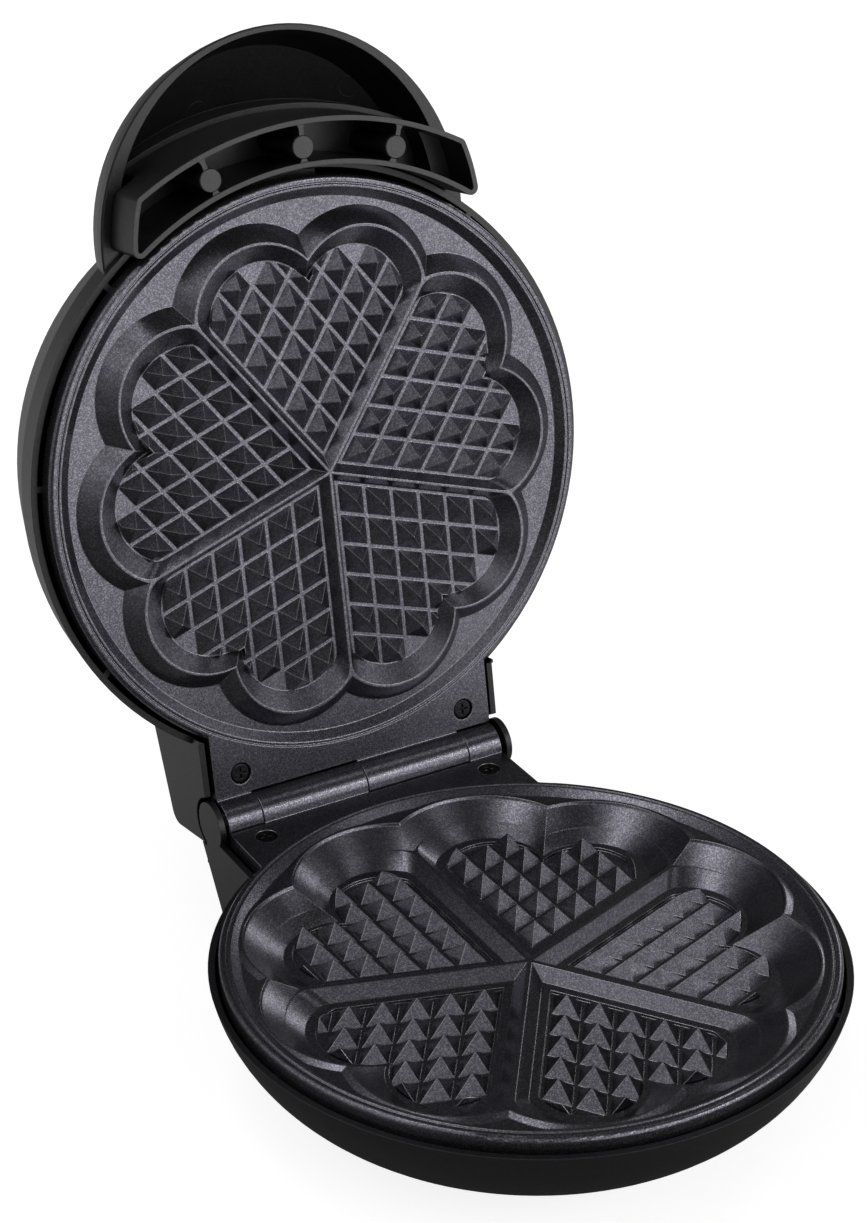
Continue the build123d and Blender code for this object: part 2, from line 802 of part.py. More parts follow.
with BuildPart() as upper_casing:
    with BuildSketch(section(UPPER)):
        add(dome(*lid_form))
        Rectangle(lid_rim_r, lid_rim, align=(Align.MIN, Align.MAX), mode=Mode.SUBTRACT)
    revolve(axis=upright(UPPER))
    with BuildSketch(section(UPPER)):
        with Locations((visor_y, 0)):
            add(dome(*visor_form))
            Rectangle(visor_r, visor_rim, align=(Align.MIN, Align.MAX), mode=Mode.SUBTRACT)
    revolve(axis=upright(UPPER, visor_y))
    with BuildSketch(section(UPPER)):
        add(lid_housing())
        with Locations((-hinge_reach, 0)):
            Rectangle(lid_top, back_sill, align=(Align.CENTER, Align.MAX), mode=Mode.SUBTRACT)
        with Locations((-hinge_reach, axis_z)):
            Circle(ear_r + ear_clear, mode=Mode.SUBTRACT)
    extrude(amount=housing_half, both=True)
    with BuildSketch(UPPER.offset(-visor_rim)):
        with Locations((0, visor_y)):
            Circle(visor_r)
            Circle(visor_r - rebate_w, mode=Mode.SUBTRACT)
        Circle(lid_rim_r, mode=Mode.SUBTRACT)
    extrude(amount=-rebate_h, mode=Mode.SUBTRACT)
    add(lid_inside.part, mode=Mode.SUBTRACT)
    add(grip_well.part, mode=Mode.SUBTRACT)
    add(finger_hollow.part, mode=Mode.SUBTRACT)
    with BuildSketch(UPPER.offset(-leaf_t)):
        with Locations((0, leaf_screw_reach - hinge_reach)):
            with GridLocations(2 * leaf_screw_x, 0, 2, 1):
                Circle(screw_r + running_fit)
    extrude(amount=-screw_l, mode=Mode.SUBTRACT)
    with BuildSketch(UPPER.offset(-grip_back)):
        with Locations(*post_places):
            Circle(screw_r + slack)
    extrude(amount=-wall, mode=Mode.SUBTRACT)
    with BuildSketch(UPPER.offset(-lens_level)):
        with Locations((0, lens_y)):
            with GridLocations(lens_pitch, 0, 2, 1):
                Circle(lens_r + running_fit)
    extrude(amount=-lid_top, mode=Mode.SUBTRACT)

# -------------------------------------------------------------------------------------------- grip
def grip_plan(end_y, end_r, skin=0):
    """Outline of the grip seen from the other half, inside its outer surface by the skin."""
    with BuildSketch() as plan:
        Circle(grip_out_r - skin)
        Circle(grip_in_r + skin, mode=Mode.SUBTRACT)
        with Locations((0, end_y)):
            Circle(end_r - skin, mode=Mode.INTERSECT)
        fillet(plan.vertices(), radius=grip_corner - skin)
    return plan.sketch


def grip_web(angle):
    """Web across the grip, curved out to its walls at both ends."""
    half = web_t / 2
    low = grip_in_r + grip_wall / 2
    high = grip_out_r - grip_wall / 2
    with BuildSketch() as web:
        with BuildLine():
            RadiusArc((low, half + web_flare), (low + web_flare, half), -web_flare)
            Line((low + web_flare, half), (high - web_flare, half))
            RadiusArc((high - web_flare, half), (high, half + web_flare), -web_flare)
            Line((low, half + web_flare), (low, 0))
            Line((high, half + web_flare), (high, 0))
            mirror(about=Plane.XZ)
        make_face()
    return web.sketch.rotate(Axis.Z, angle)


grip_step = grip_lift - visor_rim
with BuildPart() as grip:
    with BuildSketch(UPPER.offset(grip_step)):
        add(grip_plan(visor_y, grip_end_r))
    extrude(amount=grip_face - grip_step)
    with BuildSketch(UPPER.offset(-grip_back)):
        add(grip_plan(hollow_y, grip_heel_r))
    extrude(amount=grip_back + grip_step)
    with BuildSketch(UPPER.offset(grip_step + grip_wall)):
        add(grip_plan(visor_y, grip_end_r, grip_wall))
    extrude(amount=grip_face - grip_step, mode=Mode.SUBTRACT)
    with BuildSketch(UPPER.offset(grip_floor - grip_back)):
        add(grip_plan(hollow_y, grip_heel_r, grip_wall))
    extrude(amount=grip_back + grip_face, mode=Mode.SUBTRACT)
    with BuildSketch(UPPER.offset(-grip_back)):
        with Locations(*post_places):
            Circle(post_r)
    extrude(amount=grip_back + grip_face - post_drop)
    with BuildSketch(UPPER.offset(-grip_back)):
        for turn in post_turns:
            add(grip_web(grip_way + turn))
    extrude(amount=grip_back + grip_face - web_drop)
    with BuildSketch(UPPER.offset(-grip_back)):
        with Locations(*post_places):
            Circle(screw_r + running_fit)
    extrude(amount=screw_l - wall + tip_clear, mode=Mode.SUBTRACT)

# ------------------------------------------------------------------------------------------ screws
def turned(half, level):
    """Plane of one half that looks back into its casing."""
    return Plane(
        origin=half.from_local_coords((0, 0, level)),
        x_dir=half.x_dir,
        z_dir=-half.z_dir,
    )


def cross_screws(seat, places, length):
    """Cross-recessed screws whose heads stand on a plane, one at each place."""
    with BuildPart() as screws:
        with BuildSketch(seat):
            with Locations(*places):
                Circle(head_r)
        extrude(amount=head_h)
        fillet(screws.faces().sort_by(Axis(seat.origin, seat.z_dir))[-len(places):].edges(), head_round)
        with BuildSketch(seat):
            with Locations(*places):
                Circle(screw_r)
        extrude(amount=-length)
        with BuildSketch(seat.offset(head_h)):
            with Locations(*places):
                Rectangle(slot_l, slot_w)
                Rectangle(slot_w, slot_l)
        extrude(amount=-slot_d, mode=Mode.SUBTRACT)
    return screws.part


leaf_places = [(side * leaf_screw_x, leaf_screw_reach - hinge_reach) for side in (-1, 1)]
boss_turns = [turn * 360 / shield_bosses - grip_way for turn in range(shield_bosses)]
shield_places = [tuple(polar(shield_boss_ring, turn))[:2] for turn in boss_turns]
with BuildPart() as lower_plate_screws:
    add(cross_screws(LOWER.offset(-sink_d), leaf_places, screw_l))
with BuildPart() as upper_plate_screws:
    add(cross_screws(UPPER.offset(-sink_d), leaf_places, screw_l))
with BuildPart() as grip_screws:
    back_places = [(x, -y) for x, y in post_places]
    add(cross_screws(turned(UPPER, -grip_back - wall), back_places, screw_l))


# ----------------------------------------------------------------------------------- hinge pin
HINGE = Plane(origin=(0, hinge_y, hinge_z), x_dir=(0, 1, 0), z_dir=(1, 0, 0))
with BuildPart() as hinge_pin:
    with BuildSketch(HINGE.offset(-barrel_half)):
        Circle(pin_r)
    extrude(amount=2 * barrel_half + pin_head_t)
    with BuildSketch(HINGE.offset(-barrel_half)):
        Circle(pin_head_r)
    extrude(amount=-pin_head_t)
    fillet(hinge_pin.faces().sort_by(Axis.X)[0].edges(), pin_head_t / 2)

with BuildPart() as pin_clip:
    with BuildSketch(HINGE.offset(barrel_half)):
        Circle(pin_head_r)
        Circle(pin_r + running_fit, mode=Mode.SUBTRACT)
    extrude(amount=pin_head_t)


# ------------------------------------------------------------------------- heaters and their shields
def heater(half, belly):
    """Sheathed heater with a cold pin out of each leg."""
    path = heater_path(half, belly)
    with BuildPart() as tube:
        add(bent_tube(path, tube_r))
        for end, way in ((path @ 0, path % 0 * -1), (path @ 1, path % 1)):
            with BuildSketch(Plane(origin=end, z_dir=way)):
                Circle(cold_pin_r)
            extrude(amount=cold_pin_l)
    return tube.part


def heat_shield(half, belly):
    """Pressed steel dish that holds the heater against the plate."""
    with BuildPart() as dish:
        with BuildSketch(section(half)):
            with Locations((0, -belly - shield_drop)):
                Rectangle(shield_r, sheet, align=(Align.MIN, Align.MAX))
            with Locations((shield_r, -belly - shield_drop)):
                Rectangle(sheet, shield_lip, align=(Align.MAX, Align.MAX))
        revolve(axis=upright(half))
        with BuildSketch(half.offset(-belly - shield_drop)):
            with PolarLocations(shield_boss_ring, shield_bosses, start_angle=grip_way):
                Circle(screw_r + slack)
        extrude(amount=-sheet, mode=Mode.SUBTRACT)
    return dish.part


with BuildPart() as lower_heating_element:
    add(heater(LOWER, lower_belly))
with BuildPart() as upper_heating_element:
    add(heater(UPPER, upper_belly))
with BuildPart() as lower_heat_shield:
    add(heat_shield(LOWER, lower_belly))
with BuildPart() as upper_heat_shield:
    add(heat_shield(UPPER, upper_belly))
lower_shield_back = turned(LOWER, -lower_belly - shield_drop - sheet)
upper_shield_back = turned(UPPER, -upper_belly - shield_drop - sheet)
with BuildPart() as lower_shield_screws:
    add(cross_screws(lower_shield_back, shield_places, shield_screw_l))
with BuildPart() as upper_shield_screws:
    add(cross_screws(upper_shield_back, shield_places, shield_screw_l))

# ------------------------------------------------------------------------ thermostat, fuse, wiring
with BuildPart() as thermostat:
    with BuildSketch(upper_shield_back):
        Circle(thermostat_flange)
    extrude(amount=sheet)
    with BuildSketch(upper_shield_back):
        Circle(thermostat_r)
    extrude(amount=thermostat_h)
    with BuildSketch(upper_shield_back.offset(thermostat_h)):
        with GridLocations(thermostat_r, 0, 2, 1):
            Rectangle(blade_t, blade_w)
    extrude(amount=blade_h)

with BuildPart() as thermal_fuse:
    with BuildSketch(lower_shield_back):
        RectangleRounded(fuse_l, fuse_w, fuse_corner)
    extrude(amount=fuse_h)
    with BuildSketch(lower_shield_back.offset(fuse_h / 2)):
        Rectangle(2 * fuse_l, blade_t)
    extrude(amount=blade_t)

FLOOR = LOWER.offset(wall - bowl_depth)
with BuildPart() as terminal_block:
    with BuildSketch(FLOOR):
        with Locations((0, block_y)):
            Rectangle(block_l, block_w)
    extrude(amount=block_h)
    with BuildSketch(FLOOR.offset(block_h)):
        with Locations((0, block_y)):
            with GridLocations(terminal_pitch, 0, terminals, 1):
                Circle(terminal_r)
    extrude(amount=-block_h / 2, mode=Mode.SUBTRACT)

with BuildPart() as cord_inlet:
    with BuildSketch(INLET):
        Circle(inlet_flange)
        Circle(inlet_bore, mode=Mode.SUBTRACT)
    extrude(amount=inlet_out)
    outer_face = cord_inlet.faces().sort_by(Axis(INLET.origin, INLET.z_dir))[-1]
    fillet(outer_face.outer_wire().edges(), inlet_round)
    with BuildSketch(INLET):
        Circle(inlet_r)
        Circle(inlet_bore, mode=Mode.SUBTRACT)
    extrude(amount=-inlet_in)

# ------------------------------------------------------------------------------- indicator lamps
def lens(side):
    """Round lens pushed through the lid's crown from inside."""
    with BuildPart() as lamp:
        with BuildSketch(UPPER.offset(-lens_level)):
            with Locations((side * lens_pitch / 2, lens_y)):
                Circle(lens_flange)
        extrude(amount=lens_flange_t)
        with BuildSketch(UPPER.offset(-lens_level)):
            with Locations((side * lens_pitch / 2, lens_y)):
                Circle(lens_r)
        extrude(amount=lens_level - lid_top)
        fillet(lamp.faces().sort_by(Axis(UPPER.origin, UPPER.z_dir))[0].edges(), lens_dome)
    return lamp.part


with BuildPart() as power_lens:
    add(lens(-1))
with BuildPart() as ready_lens:
    add(lens(1))
with BuildPart() as lamp_board:
    with BuildSketch(UPPER.offset(lens_flange_t - lens_level)):
        with Locations((0, lens_y)):
            Rectangle(board_l, board_w)
    extrude(amount=board_t)

# -------------------------------------------------------------------------------------------- feet
with BuildPart() as rubber_feet:
    with BuildSketch(LOWER.offset(-bowl_depth)):
        with Locations(*foot_places):
            Circle(foot_r)
    extrude(amount=-foot_h, taper=foot_draft)
    with BuildSketch(LOWER.offset(-bowl_depth)):
        with Locations(*foot_places):
            Circle(stem_r)
    extrude(amount=stem_h)

pieces = {
    "lower_casing": lower_casing,
    "lower_plate": lower_plate,
    "lower_plate_screws": lower_plate_screws,
    "lower_heating_element": lower_heating_element,
    "lower_heat_shield": lower_heat_shield,
    "lower_shield_screws": lower_shield_screws,
    "thermal_fuse": thermal_fuse,
    "terminal_block": terminal_block,
    "cord_inlet": cord_inlet,
    "rubber_feet": rubber_feet,
    "hinge_pin": hinge_pin,
    "pin_clip": pin_clip,
    "upper_casing": upper_casing,
    "upper_plate": upper_plate,
    "upper_plate_screws": upper_plate_screws,
    "upper_heating_element": upper_heating_element,
    "upper_heat_shield": upper_heat_shield,
    "upper_shield_screws": upper_shield_screws,
    "thermostat": thermostat,
    "lamp_board": lamp_board,
    "power_lens": power_lens,
    "ready_lens": ready_lens,
    "grip": grip,
    "grip_screws": grip_screws,
}
os.makedirs("parts", exist_ok=True)
for name, piece in pieces.items():
    piece.part.label = name
    export_step(piece.part, f"parts/{name}.step")
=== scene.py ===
# %% [markdown]
# # Electric heart waffle iron
# Two cast plates with five heart-shaped cavities each, in satin black moulded casings, joined by a
# pin hinge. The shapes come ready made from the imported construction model. This lesson gives them
# their finishes, adds the small things that only show close up, and sets the studio round them.
# The first lines load the construction model. Every object that it brings stays where it is.

import json
from math import cos, pi, radians, sin

import bmesh
import bpy
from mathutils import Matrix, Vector


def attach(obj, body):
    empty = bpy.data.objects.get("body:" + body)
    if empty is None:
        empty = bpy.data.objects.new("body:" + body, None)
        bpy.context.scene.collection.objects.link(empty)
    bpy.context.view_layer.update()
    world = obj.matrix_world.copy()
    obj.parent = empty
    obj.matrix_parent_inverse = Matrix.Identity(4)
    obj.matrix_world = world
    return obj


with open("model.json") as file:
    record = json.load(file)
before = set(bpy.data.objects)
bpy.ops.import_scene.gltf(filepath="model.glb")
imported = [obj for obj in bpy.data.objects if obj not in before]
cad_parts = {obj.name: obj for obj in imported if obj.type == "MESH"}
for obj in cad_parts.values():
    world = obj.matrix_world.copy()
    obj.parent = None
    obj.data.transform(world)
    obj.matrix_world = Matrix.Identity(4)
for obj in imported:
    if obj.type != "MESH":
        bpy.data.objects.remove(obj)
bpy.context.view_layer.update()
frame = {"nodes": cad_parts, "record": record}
nodes = frame["nodes"]
MM = 0.001

# %% [markdown]
# ## Where the two halves lie
# The lid leans a little past upright on its stop, so its plate faces the viewer and slightly up.
# Small details on it are easier to place in its own directions: along its face towards the grip,
# and out of its face. Both follow from one angle, measured at the hinge.

# %% Directions on the open lid
OPEN_ANGLE = radians(100.3)
UP_THE_LID = Vector((0, -cos(OPEN_ANGLE), sin(OPEN_ANGLE)))
OUT_OF_THE_LID = Vector((0, -sin(OPEN_ANGLE), -cos(OPEN_ANGLE)))
LID_CENTRE = Vector((0, 79.803 * MM, 148.021 * MM))
LID_RIM_R = 95.4


def on_lid(x, along, out):
    """Point of the lid given in millimetres across, up its face and out of it."""
    return LID_CENTRE + (Vector((x, 0, 0)) + UP_THE_LID * along + OUT_OF_THE_LID * out) * MM


print("top of the lid's rim:", [round(v, 4) for v in on_lid(0, LID_RIM_R, 0)])

# %% [markdown]
# ## Camera
# The iron is seen from its front left, a little from above. A long lens keeps the two round plates
# calm, as a product picture does. The camera is placed by turning and lifting it round a point near
# the hinge, which is easier to adjust than loose coordinates.

# %% Camera
LOOK_AT = Vector((36.5, 75.17, 90.6)) * MM
CAMERA_TURN = radians(-30.14)
CAMERA_LIFT = radians(27.67)
CAMERA_DISTANCE = 906.5 * MM
SENSOR_WIDTH, FOCAL_LENGTH = 36, 81.35        # of the camera, in its own millimetres
NEAREST_SEEN = 10 * MM

camera = bpy.data.objects.new("camera", bpy.data.cameras.new("camera"))
bpy.context.scene.collection.objects.link(camera)
camera.data.sensor_width = SENSOR_WIDTH
camera.data.lens = FOCAL_LENGTH
towards_camera = Vector(
    (sin(CAMERA_TURN) * cos(CAMERA_LIFT), -cos(CAMERA_TURN) * cos(CAMERA_LIFT), sin(CAMERA_LIFT))
)
camera.location = LOOK_AT + towards_camera * CAMERA_DISTANCE
camera.rotation_euler = towards_camera.to_track_quat("Z", "Y").to_euler()
camera.data.clip_start = NEAREST_SEEN
bpy.context.scene.camera = camera
print("camera at", [round(v, 3) for v in camera.location])

# %% [markdown]
# ## Floor and studio light
# Dark metal shows little but what it reflects, so this studio is built from reflections, as a
# product photographer builds one from white and black card. The floor is pale. In reflections it
# also carries a black card in front on the left and a white card in front on the right: each is a
# disc round a point of the floor, found by distance, and the camera itself never sees them.
# The panels follow from the faces that they light. Front and key light the pyramid faces that look
# forward, left and right the ones that look aside, and the two above light the roofs of the hood
# and of the bowl. Each is given by its direction, distance, size and brightness, and its power
# follows from these. The room is a soft white, dimmed in three directions whose mirror faces are
# dark on the real coating. What the camera sees beyond the floor is a plain white backdrop.
# A gamma a little under one deepens the dark tones, as the contrast of a product picture does, and
# leaves white as it is.


# %% Helpers for node trees
def add_node(tree, kind, settings=None, **inputs):
    """Adds a node, sets its options and the values of its named inputs."""
    node = tree.nodes.new(kind)
    for option, value in (settings or {}).items():
        setattr(node, option, value)
    for socket, value in inputs.items():
        node.inputs[socket.replace("_", " ")].default_value = value
    return node


def join(tree, source, output, target, socket):
    """Links the named output of one node to the named input of another."""
    tree.links.new(source.outputs[output], target.inputs[socket])


# %% Floor
FLOOR_SIZE = 8
FLOOR_GAP = 0.2 * MM                 # under the feet, so that the two don't flicker
FLOOR_TONE, FLOOR_ROUGHNESS = 0.3, 0.9
FLOOR_GLOW_SEEN = 0.86               # for the camera, where the cards are for reflections
FLOOR_CARDS = {
    "black": {"middle": (-0.6, -0.6, 0), "start": 0.8, "end": 0.92, "inside": 0.0, "outside": 0.4},
    "white": {"middle": (0.65, -1.05, 0), "start": 0.75, "end": 0.95, "inside": 0.9, "outside": 0.0},
}
bpy.ops.mesh.primitive_plane_add(size=FLOOR_SIZE)
floor = bpy.context.object
floor.name = "floor"
floor.location.z = -FLOOR_GAP
paper = bpy.data.materials.new("floor_paper")
paper.use_nodes = True
paper_shader = paper.node_tree.nodes["Principled BSDF"]
paper_shader.inputs["Base Color"].default_value = (FLOOR_TONE, FLOOR_TONE, FLOOR_TONE, 1)
paper_shader.inputs["Roughness"].default_value = FLOOR_ROUGHNESS
paper_shader.inputs["Emission Color"].default_value = (1, 1, 1, 1)
spot = add_node(paper.node_tree, "ShaderNodeTexCoord")
glows = []
for card in FLOOR_CARDS.values():
    away = add_node(paper.node_tree, "ShaderNodeVectorMath", {"operation": "DISTANCE"})
    away.inputs[1].default_value = card["middle"]
    level = add_node(
        paper.node_tree, "ShaderNodeMapRange",
        From_Min=card["start"], From_Max=card["end"], To_Min=card["inside"], To_Max=card["outside"],
    )
    paper.node_tree.links.new(spot.outputs["Object"], away.inputs[0])
    join(paper.node_tree, away, "Value", level, "Value")
    glows.append(level)
mirrored = add_node(paper.node_tree, "ShaderNodeMath", {"operation": "ADD"})
for socket, level in zip(mirrored.inputs, glows):
    paper.node_tree.links.new(level.outputs["Result"], socket)
path = add_node(paper.node_tree, "ShaderNodeLightPath")
glow = add_node(paper.node_tree, "ShaderNodeMix", {"data_type": "FLOAT"}, B=FLOOR_GLOW_SEEN)
join(paper.node_tree, path, "Is Camera Ray", glow, "Factor")
join(paper.node_tree, mirrored, "Value", glow, "A")
join(paper.node_tree, glow, "Result", paper_shader, "Emission Strength")
floor.data.materials.append(paper)
print("floor:", floor.dimensions.x, "m wide, cards:", len(FLOOR_CARDS))

# %% Lights
STUDIO_PANELS = {
    "front_panel": {"towards": (0.44, -0.88, 0.12), "away": 1.1, "wide": 1.3, "high": 0.8, "glow": 1.2},
    "key_strip": {"towards": (0.44, -0.78, 0.44), "away": 1.2, "wide": 0.5, "high": 0.14, "glow": 5.0},
    "left_panel": {"towards": (-0.69, -0.06, 0.72), "away": 1.2, "wide": 0.7, "high": 0.4, "glow": 0.5},
    "right_band": {"towards": (0.87, 0.34, 0.36), "away": 1.2, "wide": 0.35, "high": 0.4, "glow": 2.8},
    "top_band": {"towards": (-0.29, 0.04, 0.96), "away": 1.2, "wide": 0.35, "high": 0.35, "glow": 2.8},
    "top_fill": {"towards": (0.44, -0.2, 0.88), "away": 1.2, "wide": 0.35, "high": 0.35, "glow": 1.1},
}
for name, wish in STUDIO_PANELS.items():
    panel = bpy.data.lights.new(name, "AREA")
    panel.shape = "RECTANGLE"
    panel.size = wish["wide"]
    panel.size_y = wish["high"]
    panel.energy = wish["glow"] * pi * wish["wide"] * wish["high"]
    lamp = bpy.data.objects.new(name, panel)
    lamp.location = LOOK_AT + Vector(wish["towards"]).normalized() * wish["away"]
    lamp.rotation_euler = (lamp.location - LOOK_AT).to_track_quat("Z", "Y").to_euler()
    bpy.context.scene.collection.objects.link(lamp)
print("panels:", len(STUDIO_PANELS))

# %% Room
ROOM_GLOW = {-0.1: 0.5, 0.12: 0.6, 0.3: 0.85, 0.95: 0.85}      # brightness by the height of the way
DARK_WAYS = {
    "behind on the right": {"way": (0.5, 0.86, 0), "start": 0.1, "end": 0.7, "least": 0.15},
    "overhead": {"way": (0.35, -0.2, 0.91), "start": 0.82, "end": 0.89, "least": 0.12},
    "beside the camera": {"way": (-0.6, -0.79, 0), "start": 0.75, "end": 0.93, "least": 0.15},
}
PICTURE_GAMMA = 0.83
world = bpy.data.worlds.new("studio")
bpy.context.scene.world = world
world.use_nodes = True
room = world.node_tree
ways = add_node(room, "ShaderNodeTexCoord")
height = add_node(room, "ShaderNodeSeparateXYZ")
above = add_node(room, "ShaderNodeMapRange", From_Min=-1.0, From_Max=1.0)
bands = add_node(room, "ShaderNodeValToRGB")
while len(bands.color_ramp.elements) < len(ROOM_GLOW):
    bands.color_ramp.elements.new(0.5)
for band, (level, brightness) in zip(bands.color_ramp.elements, ROOM_GLOW.items()):
    band.position = (level + 1) / 2
    band.color = (brightness, brightness, brightness, 1)
join(room, ways, "Generated", height, "Vector")
join(room, height, "Z", above, "Value")
join(room, above, "Result", bands, "Fac")
join(room, bands, "Color", room.nodes["Background"], "Color")
last = None
for dark in DARK_WAYS.values():
    along = add_node(room, "ShaderNodeVectorMath", {"operation": "DOT_PRODUCT"})
    along.inputs[1].default_value = dark["way"]
    dimmer = add_node(
        room, "ShaderNodeMapRange",
        From_Min=dark["start"], From_Max=dark["end"], To_Min=1.0, To_Max=dark["least"],
    )
    room.links.new(ways.outputs["Generated"], along.inputs[0])
    join(room, along, "Value", dimmer, "Value")
    both_dim = add_node(room, "ShaderNodeMath", {"operation": "MULTIPLY"})
    both_dim.inputs[1].default_value = 1
    join(room, dimmer, "Result", both_dim, "Value")
    if last:
        room.links.new(last.outputs["Value"], both_dim.inputs[1])
    last = both_dim
join(room, last, "Value", room.nodes["Background"], "Strength")
backdrop = add_node(room, "ShaderNodeBackground", Color=(1, 1, 1, 1), Strength=1.0)
seen = add_node(room, "ShaderNodeLightPath")
either = add_node(room, "ShaderNodeMixShader")
join(room, seen, "Is Camera Ray", either, "Fac")
room.links.new(room.nodes["Background"].outputs["Background"], either.inputs[1])
room.links.new(backdrop.outputs["Background"], either.inputs[2])
join(room, either, "Shader", room.nodes["World Output"], "Surface")
bpy.context.scene.view_settings.view_transform = "Standard"
bpy.context.scene.view_settings.gamma = PICTURE_GAMMA
print("bands of room light:", len(ROOM_GLOW), "dimmed ways:", len(DARK_WAYS))

# %% [markdown]
# ## Shared effects
# Two effects turn up in every finish, so each is a node group with named sockets. Fine grain
# gives the tooth of moulded plastic, and flecks: a sprayed coating holds tiny metal flakes, of which
# only some catch the light, so the cells of a Voronoi pattern get a chance each and few are bright.
# Soft edges rounds what the construction model leaves sharp: the Bevel node looks round each edge
# and bends the light there, and how far it bends also says where an edge is, which the finishes use as the
# mask of a painted edge highlight.


# %% Group sockets
def new_group(name, inputs, outputs):
    """Shader node group with named inputs and their values, and named outputs with their kinds."""
    group = bpy.data.node_groups.new(name, "ShaderNodeTree")
    for socket, value in inputs.items():
        made = group.interface.new_socket(socket, in_out="INPUT", socket_type="NodeSocketFloat")
        made.default_value = value
    for socket, kind in outputs.items():
        group.interface.new_socket(socket, in_out="OUTPUT", socket_type=kind)
    return group, group.nodes.new("NodeGroupInput"), group.nodes.new("NodeGroupOutput")


FLOAT, VECTOR = "NodeSocketFloat", "NodeSocketVector"


# %% Fine grain
NOISES = {
    "Tone": {"size": "Grain Size", "detail": 3.0},
    "Patches": {"size": "Patch Size", "detail": 2.0},
}
NOISE_ROUGHNESS = 0.6
DULL_FLAKES = 0.45                   # share of the cells whose flake doesn't catch the light


def make_fine_grain():
    """Noise in two sizes, and flecks: small cells of which a few are bright, as in a sprayed coating."""
    group, given, made = new_group(
        "fine_grain",
        {"Grain Size": 0.4, "Patch Size": 12.0},
        {"Tone": FLOAT, "Patches": FLOAT, "Fleck": FLOAT, "Height": FLOAT},
    )
    place = add_node(group, "ShaderNodeTexCoord")
    cells = add_node(group, "ShaderNodeTexVoronoi")
    join(group, place, "Object", cells, "Vector")
    for output, kind in NOISES.items():
        per_metre = add_node(group, "ShaderNodeMath", {"operation": "DIVIDE"})
        per_metre.inputs[0].default_value = 1 / MM
        group.links.new(given.outputs[kind["size"]], per_metre.inputs[1])
        noise = add_node(group, "ShaderNodeTexNoise", Detail=kind["detail"], Roughness=NOISE_ROUGHNESS)
        join(group, place, "Object", noise, "Vector")
        join(group, per_metre, "Value", noise, "Scale")
        join(group, noise, "Fac", made, output)
        if output == "Tone":
            join(group, noise, "Fac", made, "Height")
            join(group, per_metre, "Value", cells, "Scale")
    chance = add_node(group, "ShaderNodeSeparateColor")
    few = add_node(group, "ShaderNodeMapRange", From_Min=DULL_FLAKES, From_Max=1.0)
    join(group, cells, "Color", chance, "Color")
    join(group, chance, "Red", few, "Value")
    join(group, few, "Result", made, "Fleck")
    return group


fine_grain = make_fine_grain()
print("group", fine_grain.name)


# %% Soft edges
EDGE_SAMPLES = 6


def make_soft_edges():
    """Normal that rounds sharp edges within a radius in millimetres, and a mask that is 1 on them."""
    group, given, made = new_group(
        "soft_edges", {"Radius": 0.4, "Gain": 5.0}, {"Normal": VECTOR, "Edge": FLOAT}
    )
    metres = add_node(group, "ShaderNodeMath", {"operation": "MULTIPLY"})
    metres.inputs[1].default_value = MM
    rounded = add_node(group, "ShaderNodeBevel", {"samples": EDGE_SAMPLES})
    facing = add_node(group, "ShaderNodeNewGeometry")
    agree = add_node(group, "ShaderNodeVectorMath", {"operation": "DOT_PRODUCT"})
    differ = add_node(group, "ShaderNodeMath", {"operation": "SUBTRACT"})
    differ.inputs[0].default_value = 1
    stronger = add_node(group, "ShaderNodeMath", {"operation": "MULTIPLY", "use_clamp": True})
    group.links.new(given.outputs["Radius"], metres.inputs[0])
    join(group, metres, "Value", rounded, "Radius")
    group.links.new(rounded.outputs["Normal"], agree.inputs[0])
    group.links.new(facing.outputs["Normal"], agree.inputs[1])
    group.links.new(agree.outputs["Value"], differ.inputs[1])
    group.links.new(differ.outputs["Value"], stronger.inputs[0])
    group.links.new(given.outputs["Gain"], stronger.inputs[1])
    join(group, rounded, "Normal", made, "Normal")
    join(group, stronger, "Value", made, "Edge")
    return group


soft_edges = make_soft_edges()
print("group", soft_edges.name)

# %% [markdown]
# ## One builder for the finishes
# Every finish is the same short chain: two tones mixed by the grain, a third and brighter tone on
# the flecks and, as a painted highlight, along the edges, a range of roughness, and a bump on top of
# the rounded edges. Plain values such as coat or metallic stay on the shader's own sockets. So each
# finish below is one call with its own values, and a change of the chain reaches all of them.


# %% Finish builder
TONE_STOPS = (0.18, 0.42)            # of grain times patches, for the dark and the light tone
SHEEN_SPAN = (0.3, 0.7)              # of the grain, for the lowest and the highest roughness
TOOTH_DEPTH = 0.1 * MM


